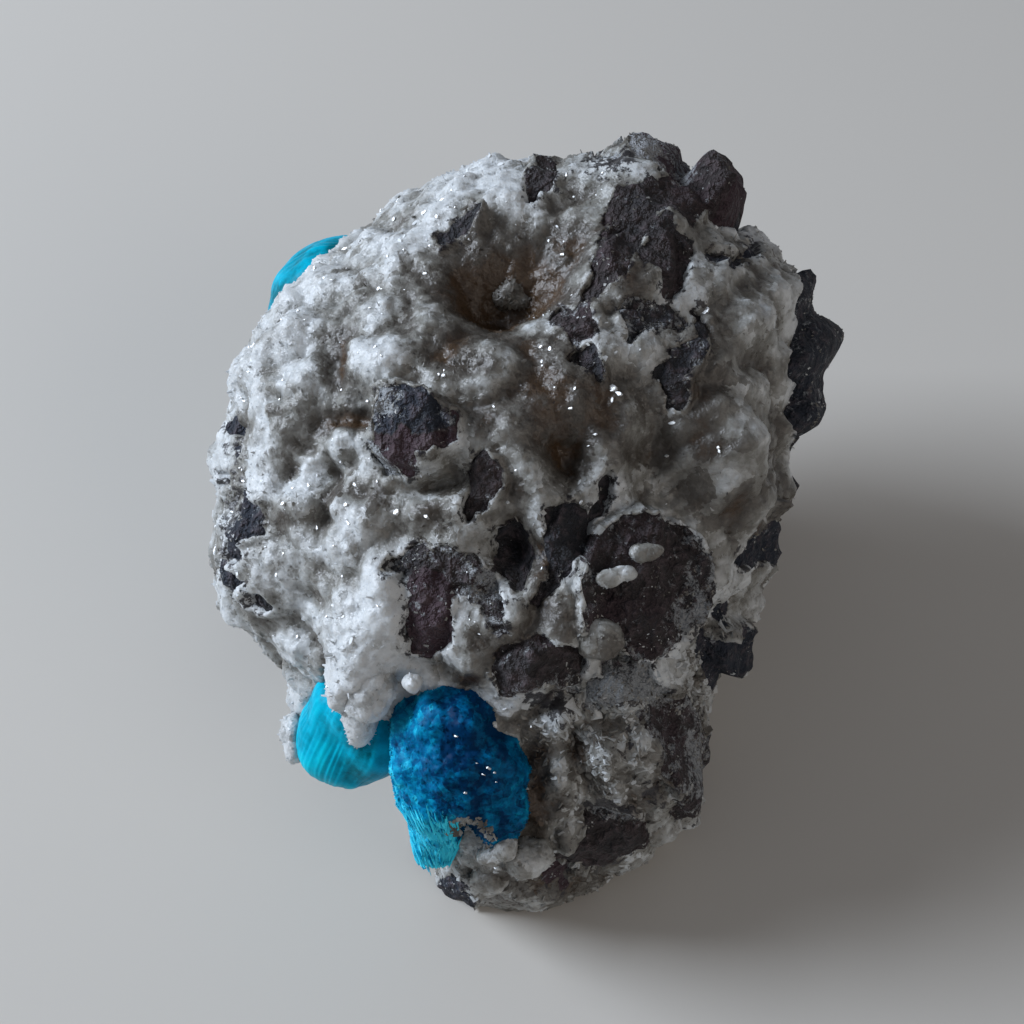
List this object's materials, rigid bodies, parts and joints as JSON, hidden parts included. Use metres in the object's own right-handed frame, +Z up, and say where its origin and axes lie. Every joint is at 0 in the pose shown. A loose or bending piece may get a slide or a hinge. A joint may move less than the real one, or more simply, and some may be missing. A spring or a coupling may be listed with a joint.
{
  "type": "cavansite specimen",
  "caption": "Palm-sized mineral specimen: dark basalt under a white zeolite crust, with three blue cavansite clusters.",
  "frame": {"origin": "middle of the box round the specimen, on the flat base that it stands on", "axes": "+X to the right of the best face, +Y away behind it, +Z up out of the base"},
  "size_m": [0.045, 0.0514, 0.0391],
  "materials": {
    "basalt": "matte",
    "zeolite_druse": "satin",
    "cavansite_blue": "satin",
    "cavansite_teal": "satin"
  },
  "bodies": {
    "root": {"basalt_matrix": "basalt", "zeolite_crust": "zeolite_druse", "cavansite_front_ball": "cavansite_blue", "cavansite_left_fan": "cavansite_teal", "cavansite_back_ball": "cavansite_teal"}
  },
  "joints": []
}
